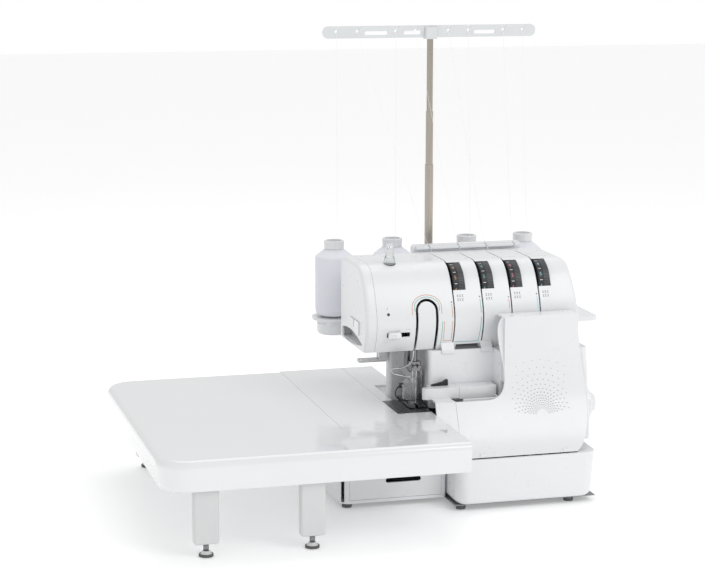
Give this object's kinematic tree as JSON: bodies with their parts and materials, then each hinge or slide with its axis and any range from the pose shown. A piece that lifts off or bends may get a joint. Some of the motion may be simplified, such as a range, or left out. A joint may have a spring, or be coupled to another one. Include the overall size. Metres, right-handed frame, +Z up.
{
  "type": "serger overlock machine",
  "caption": "Tabletop overlock sewing machine with front tension dials, rear cone stand on a telescopic thread mast, and a wide glossy extension table on folding legs.",
  "frame": {"origin": "middle of the whole footprint (machine, stand wing and table) at the level of the feet", "axes": "+X from the table towards the handwheel, +Y from the operator towards the cone stand, +Z up"},
  "size_m": [0.6527, 0.4376, 0.589],
  "materials": {
    "shell_white": "glossy moulded shell plastic, white",
    "table_white": "high-gloss white table plastic",
    "table_leg_plastic": "satin white leg plastic",
    "foot_rubber": "grey rubber",
    "base_steel": "zinc-plated steel base plate",
    "drawer_white": "glossy white drawer plastic",
    "plate_steel": "dark brushed steel needle plate",
    "bracket_grey": "grey hinge bracket plastic",
    "dial_black": "black dial with coloured numbers",
    "steel": "ground steel",
    "chrome": "polished chrome plate",
    "mast_steel": "warm polished steel tube",
    "frame_iron": "grey painted casting",
    "knob_white": "glossy white knob plastic",
    "bar_white": "slightly translucent white plastic",
    "thread_white": "wound polyester thread, cool white",
    "cone_plastic": "milky cone plastic",
    "motor_dark": "dark painted motor can",
    "belt_rubber": "black belt rubber",
    "socket_black": "black inlet and switch plastic",
    "lifter_clear": "milky lever plastic"
  },
  "bodies": {
    "machine": {"base_tray": "shell_white", "bottom_plate": "base_steel", "cone_cores": "cone_plastic", "drive_belt": "belt_rubber", "frame_casting": "frame_iron", "head_cover": "shell_white", "left_base": "shell_white", "left_end_cover": "shell_white", "looper_guard": "shell_white", "lower_knife": "steel", "machine_feet": "foot_rubber", "mast_lower": "mast_steel", "motor": "motor_dark", "needle_plate": "plate_steel", "power_inlet": "socket_black", "rear_cover": "shell_white", "rear_thread_guide": "bar_white", "screws": "steel", "spool_stand": "shell_white", "take_up_plate": "shell_white", "tension_shafts": "steel", "thread_1": "thread_white", "thread_2": "thread_white", "thread_3": "thread_white", "thread_4": "thread_white", "thread_cutter": "knob_white", "thread_windings": "thread_white"},
    "cover": {"front_cover": "shell_white"},
    "drawer": {"accessory_drawer": "drawer_white"},
    "needle_drive": {"needle_bar": "chrome", "needle_clamp": "steel", "needles": "chrome"},
    "presser": {"presser_bar": "chrome", "presser_foot": "chrome"},
    "lifter": {"presser_lifter": "lifter_clear"},
    "pressure_adjuster": {"pressure_knob": "knob_white"},
    "cutting_knife": {"upper_knife": "steel"},
    "looper_upper": {"upper_looper": "chrome"},
    "looper_lower": {"lower_looper": "chrome"},
    "feed": {"feed_dogs": "steel"},
    "drive_shaft": {"main_shaft": "steel", "handwheel": "knob_white"},
    "rotor": {"motor_pulley": "steel"},
    "threader": {"threader_slider": "knob_white"},
    "switch_rocker": {"power_switch": "socket_black"},
    "mast_mid": {"mast_middle": "mast_steel"},
    "mast_top": {"mast_upper": "mast_steel", "guide_bar": "bar_white"},
    "table": {"extension_table": "table_white", "table_insert": "table_white", "bed_strip": "table_white", "leg_brackets": "bracket_grey"},
    "dial_1": {"tension_dial_1": "dial_black"},
    "leg_1": {"table_leg_1": "table_leg_plastic"},
    "dial_2": {"tension_dial_2": "dial_black"},
    "leg_2": {"table_leg_2": "table_leg_plastic"},
    "dial_3": {"tension_dial_3": "dial_black"},
    "leg_3": {"table_leg_3": "table_leg_plastic"},
    "dial_4": {"tension_dial_4": "dial_black"},
    "leg_4": {"table_leg_4": "table_leg_plastic"}
  },
  "joints": [
    {"name": "cover_open", "type": "hinge", "parent": "machine", "child": "cover", "pos_m": [0.151, -0.109, 0.069], "axis": [1, 0, 0], "range_deg": [0, 78]},
    {"name": "drawer_out", "type": "slide", "parent": "machine", "child": "drawer", "axis": [0, -1, 0], "range_m": [0, 0.095]},
    {"name": "needle_stroke", "type": "slide", "parent": "machine", "child": "needle_drive", "axis": [0, 0, 1], "range_m": [-0.024, 0.001]},
    {"name": "presser_lift", "type": "slide", "parent": "machine", "child": "presser", "axis": [0, 0, 1], "range_m": [0, 0.006]},
    {"name": "lifter_turn", "type": "hinge", "parent": "machine", "child": "lifter", "pos_m": [0.011, 0.041, 0.2], "axis": [0, 1, 0], "range_deg": [0, 20]},
    {"name": "pressure_turn", "type": "hinge", "parent": "machine", "child": "pressure_adjuster", "pos_m": [0.014, 0.017, 0.3], "axis": [0, 0, 1], "range_deg": [-180, 180]},
    {"name": "knife_stroke", "type": "slide", "parent": "machine", "child": "cutting_knife", "axis": [0, 0, 1], "range_m": [0, 0.007]},
    {"name": "looper_upper_swing", "type": "hinge", "parent": "machine", "child": "looper_upper", "pos_m": [0.059, -0.042, 0.086], "axis": [0, 1, 0], "range_deg": [0, 8]},
    {"name": "looper_lower_swing", "type": "hinge", "parent": "machine", "child": "looper_lower", "pos_m": [0.031, -0.033, 0.086], "axis": [0, 1, 0], "range_deg": [-8, 8]},
    {"name": "feed_stroke", "type": "slide", "parent": "machine", "child": "feed", "axis": [0, 0, 1], "range_m": [-0.002, 0.001]},
    {"name": "shaft_spin", "type": "hinge", "parent": "machine", "child": "drive_shaft", "pos_m": [0.171, -0.011, 0.104], "axis": [1, 0, 0], "continuous": true},
    {"name": "rotor_spin", "type": "hinge", "parent": "machine", "child": "rotor", "pos_m": [0.211, 0.061, 0.042], "axis": [1, 0, 0], "continuous": true},
    {"name": "threader_slide", "type": "slide", "parent": "machine", "child": "threader", "axis": [1, 0, 0], "range_m": [0, 0.013]},
    {"name": "switch_rock", "type": "hinge", "parent": "machine", "child": "switch_rocker", "pos_m": [0.263, 0.026, 0.031], "axis": [0, 1, 0], "range_deg": [-8, 0]},
    {"name": "mast_slide", "type": "slide", "parent": "machine", "child": "mast_mid", "axis": [0, 0, -1], "range_m": [0, 0.066], "deforming": ["thread_1", "thread_2", "thread_3", "thread_4"]},
    {"name": "mast_top_slide", "type": "slide", "parent": "mast_mid", "child": "mast_top", "axis": [0, 0, -1], "range_m": [0, 0.094]},
    {"name": "table_slide", "type": "slide", "parent": "machine", "child": "table", "axis": [-1, 0, 0], "range_m": [0, 0.26]},
    {"name": "dial_1_turn", "type": "hinge", "parent": "machine", "child": "dial_1", "pos_m": [0.0971, 0.0135, 0.2635], "axis": [1, 0, 0], "range_deg": [-120, 120]},
    {"name": "dial_2_turn", "type": "hinge", "parent": "machine", "child": "dial_2", "pos_m": [0.1356, 0.0135, 0.2635], "axis": [1, 0, 0], "range_deg": [-120, 120]},
    {"name": "dial_3_turn", "type": "hinge", "parent": "machine", "child": "dial_3", "pos_m": [0.1741, 0.0135, 0.2635], "axis": [1, 0, 0], "range_deg": [-120, 120]},
    {"name": "dial_4_turn", "type": "hinge", "parent": "machine", "child": "dial_4", "pos_m": [0.2126, 0.0135, 0.2635], "axis": [1, 0, 0], "range_deg": [-120, 120]},
    {"name": "leg_1_fold", "type": "hinge", "parent": "table", "child": "leg_1", "pos_m": [-0.271, -0.204, 0.092], "axis": [1, 0, 0], "range_deg": [0, 88]},
    {"name": "leg_2_fold", "type": "hinge", "parent": "table", "child": "leg_2", "pos_m": [-0.144, -0.204, 0.092], "axis": [1, 0, 0], "range_deg": [0, 88]},
    {"name": "leg_3_fold", "type": "hinge", "parent": "table", "child": "leg_3", "pos_m": [-0.271, 0.201, 0.092], "axis": [-1, 0, 0], "range_deg": [0, 88]},
    {"name": "leg_4_fold", "type": "hinge", "parent": "table", "child": "leg_4", "pos_m": [-0.144, 0.201, 0.092], "axis": [-1, 0, 0], "range_deg": [0, 88]}
  ],
  "couplings": [
    {"joint": "mast_top_slide", "follows": "mast_slide", "ratio": 1.4242},
    {"joint": "lifter_turn", "follows": "presser_lift", "rad_per_m": 58.178},
    {"joint": "rotor_spin", "follows": "shaft_spin", "ratio": 3.1111}
  ]
}
